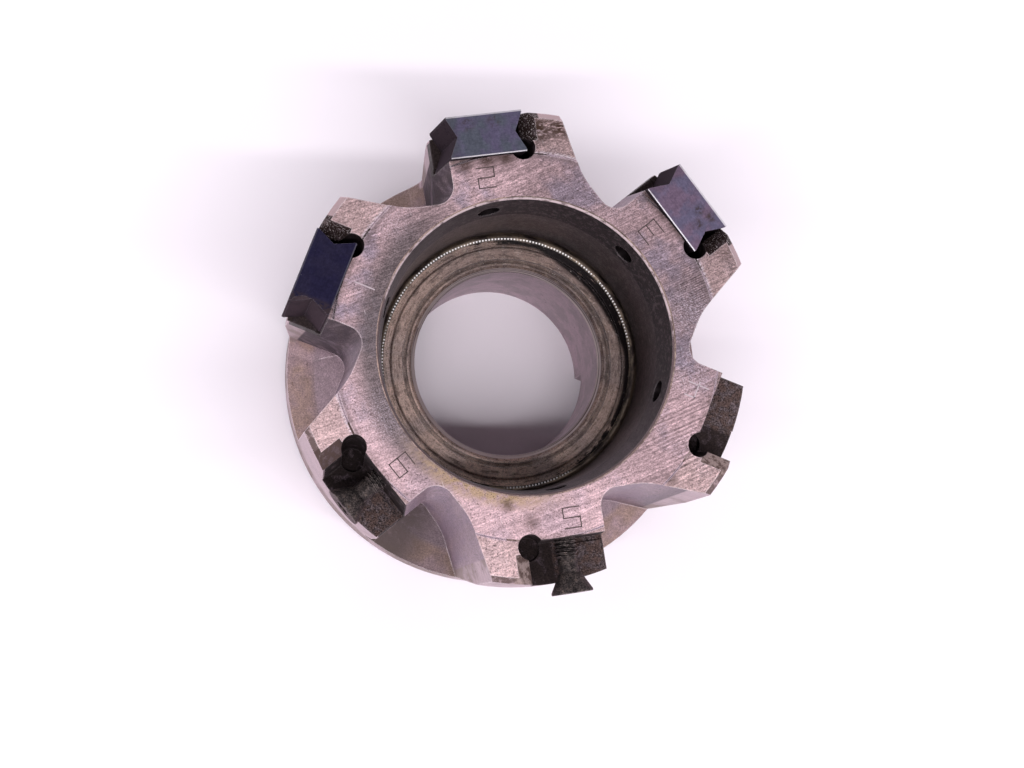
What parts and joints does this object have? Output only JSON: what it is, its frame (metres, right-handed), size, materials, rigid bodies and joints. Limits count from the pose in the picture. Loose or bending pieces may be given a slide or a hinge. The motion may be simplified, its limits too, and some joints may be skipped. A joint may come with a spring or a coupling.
{
  "type": "indexable face mill",
  "caption": "Arbor-mounted indexable face mill with a stepped bore, drive slot and screw-clamped tangential inserts; some pockets stand empty.",
  "frame": {"origin": "bore axis at the back face", "axes": "+Z along the bore axis towards the cutting end, +X through the middle of pocket 4 and along the drive slot"},
  "size_m": [0.0622, 0.061, 0.0412],
  "materials": {
    "body_steel": "machined, stained and oily",
    "insert_navy": "coated carbide, satin, chipped",
    "insert_slate": "coated carbide, satin",
    "insert_plum": "coated carbide, worn satin",
    "clamp_screw": "blackened",
    "loose_screw": "blackened, rim worn bright"
  },
  "bodies": {
    "root": {"cutter_body": "body_steel", "insert_1": "insert_navy", "insert_2": "insert_slate", "insert_3": "insert_plum", "insert_screw_1": "clamp_screw", "insert_screw_2": "clamp_screw", "insert_screw_3": "clamp_screw", "loose_screw_5": "loose_screw", "loose_screw_6": "loose_screw"}
  },
  "joints": []
}
